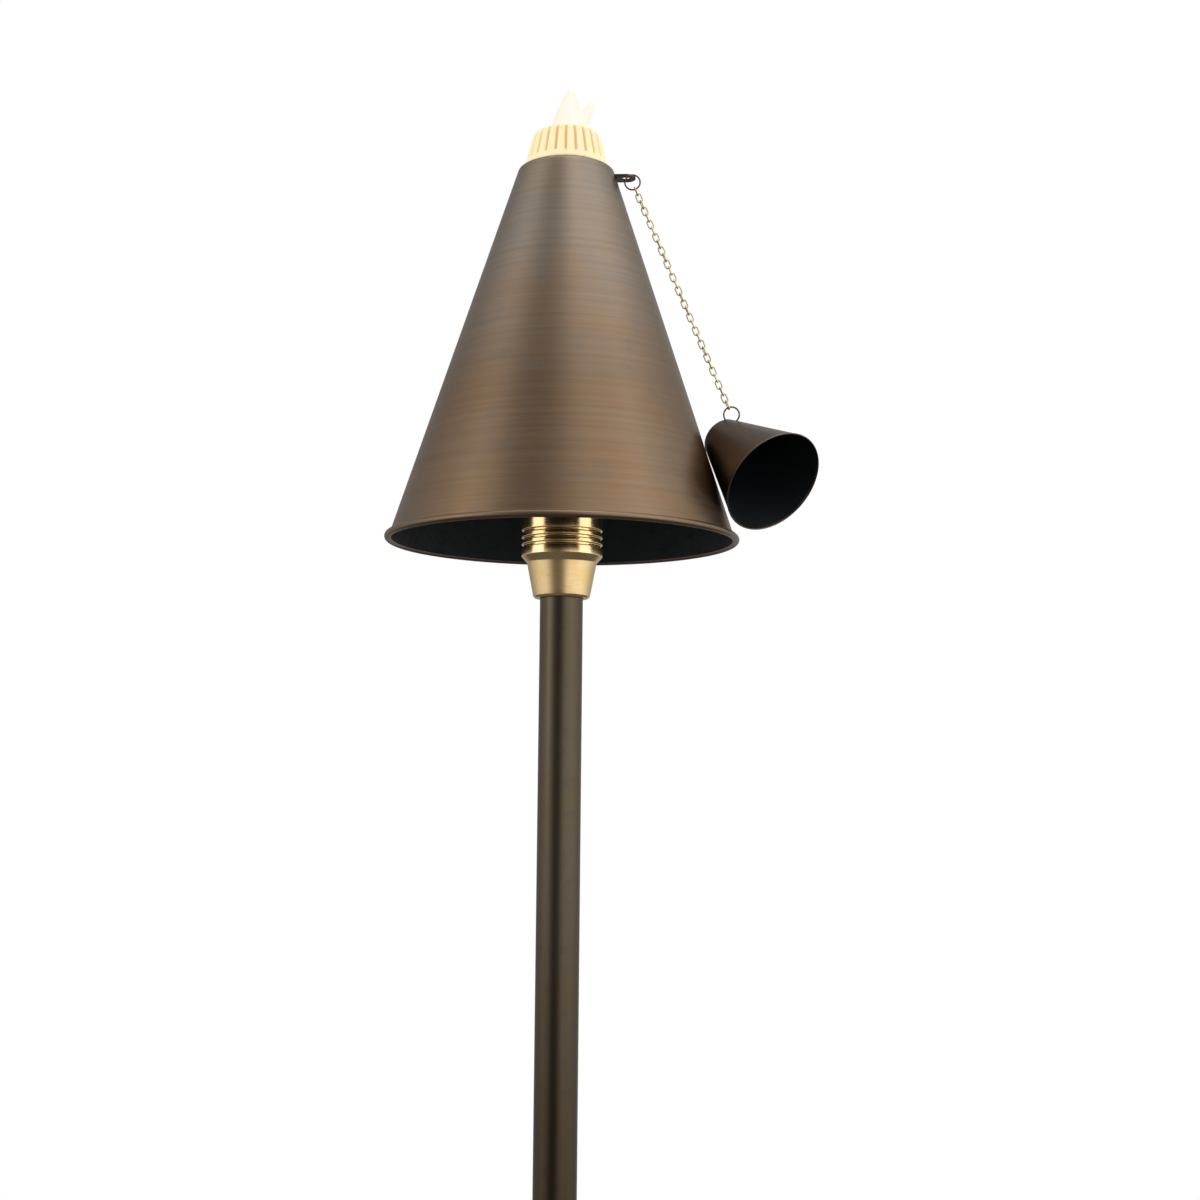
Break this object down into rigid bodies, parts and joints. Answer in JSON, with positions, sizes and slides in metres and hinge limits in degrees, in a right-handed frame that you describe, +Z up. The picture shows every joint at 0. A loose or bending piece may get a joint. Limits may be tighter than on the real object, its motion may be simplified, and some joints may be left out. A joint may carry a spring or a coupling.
{
  "type": "tiki torch",
  "caption": "Garden torch light with a spun copper cone shade on a brass hub and pipe stem, a glowing ribbed crown, a glass flame and a snuffer cap on a chain.",
  "frame": {"origin": "on the stem's axis at ground level, at the underside of the stake's flange", "axes": "+Z up along the stem, +X towards the side that the chain and the snuffer hang on, -Y the front"},
  "size_m": [0.2144, 0.1762, 1.3936],
  "materials": {
    "shade_patina": "spun copper with a satin brown patina",
    "dark_copper": "dark brown patina, coppery on edges",
    "dark_wire": "darkened copper wire",
    "aged_brass": "drawn tube with a brown aged finish",
    "brass": "turned, satin polished",
    "chain_brass": "bright drawn wire",
    "steel": "plain machined",
    "black_plastic": "moulded, fine texture",
    "lead_rubber": "matte insulation",
    "gasket_rubber": "matte silicone",
    "ceramic": "unglazed, smooth",
    "lamp_glass": "clear",
    "glowing_glass": "frosted warm glass, lit from inside",
    "flame_glass": "frosted warm glass, lit from inside"
  },
  "bodies": {
    "torch": {"ground_stake": "black_plastic", "stake_set_screw": "steel", "stem": "aged_brass", "hub": "brass", "hub_set_screw": "steel", "riser_tube": "brass", "shade": "shade_patina", "chain_strap": "dark_copper", "shade_washer": "brass", "riser_lock_nut": "brass", "lamp_plate": "steel", "lampholder": "ceramic", "lampholder_screw_1": "steel", "lampholder_screw_2": "steel", "lamp_base": "ceramic", "lamp_envelope": "lamp_glass", "lead_1": "lead_rubber", "lead_2": "lead_rubber", "crown_gasket": "gasket_rubber"},
    "crown": {"ribbed_crown": "glowing_glass", "flame_glass": "flame_glass"},
    "upper_ring": {"upper_ring": "dark_wire"},
    "chain_top": {"chain_link_01": "chain_brass", "chain_link_02": "chain_brass", "chain_link_03": "chain_brass", "chain_link_04": "chain_brass", "chain_link_05": "chain_brass", "chain_link_06": "chain_brass", "chain_link_07": "chain_brass", "chain_link_08": "chain_brass"},
    "chain_upper_middle": {"chain_link_09": "chain_brass", "chain_link_10": "chain_brass", "chain_link_11": "chain_brass", "chain_link_12": "chain_brass", "chain_link_13": "chain_brass", "chain_link_14": "chain_brass", "chain_link_15": "chain_brass", "chain_link_16": "chain_brass"},
    "chain_lower_middle": {"chain_link_17": "chain_brass", "chain_link_18": "chain_brass", "chain_link_19": "chain_brass", "chain_link_20": "chain_brass", "chain_link_21": "chain_brass", "chain_link_22": "chain_brass", "chain_link_23": "chain_brass", "chain_link_24": "chain_brass"},
    "chain_bottom": {"chain_link_25": "chain_brass", "chain_link_26": "chain_brass", "chain_link_27": "chain_brass", "chain_link_28": "chain_brass", "chain_link_29": "chain_brass", "chain_link_30": "chain_brass", "chain_link_31": "chain_brass", "chain_link_32": "chain_brass", "chain_link_33": "chain_brass"},
    "lower_ring": {"lower_ring": "dark_wire"},
    "snuffer": {"snuffer_cap": "dark_copper"}
  },
  "joints": [
    {"name": "chain_sway", "type": "hinge", "parent": "torch", "child": "upper_ring", "pos_m": [0.03375, -0.00195, 1.1161], "axis": [0.9983, -0.0576, 0], "range_deg": [-45, 45]},
    {"name": "chain_lift", "type": "hinge", "parent": "upper_ring", "child": "chain_top", "pos_m": [0.03489, -0.00201, 1.11035], "axis": [-0.0576, -0.9983, 0], "range_deg": [0, 60]},
    {"name": "chain_bend_1", "type": "hinge", "parent": "chain_top", "child": "chain_upper_middle", "pos_m": [0.04645, -0.00268, 1.08269], "axis": [-0.0576, -0.9983, 0], "range_deg": [0, 30]},
    {"name": "chain_bend_2", "type": "hinge", "parent": "chain_upper_middle", "child": "chain_lower_middle", "pos_m": [0.058, -0.00334, 1.05503], "axis": [-0.0576, -0.9983, 0], "range_deg": [0, 30]},
    {"name": "chain_bend_3", "type": "hinge", "parent": "chain_lower_middle", "child": "chain_bottom", "pos_m": [0.06955, -0.00401, 1.02737], "axis": [-0.0576, -0.9983, 0], "range_deg": [0, 30]},
    {"name": "lower_ring_swing", "type": "hinge", "parent": "chain_bottom", "child": "lower_ring", "pos_m": [0.08288, -0.00478, 0.99544], "axis": [-0.0576, -0.9983, 0], "range_deg": [0, 40]},
    {"name": "snuffer_swing", "type": "hinge", "parent": "lower_ring", "child": "snuffer", "pos_m": [0.08409, -0.00411, 0.9928], "axis": [-0.0563, -0.9765, -0.2079], "range_deg": [0, 45]},
    {"name": "crown_lift_off", "type": "slide", "parent": "torch", "child": "crown", "axis": [0, 0, 1], "range_m": [0, 0.06]}
  ]
}
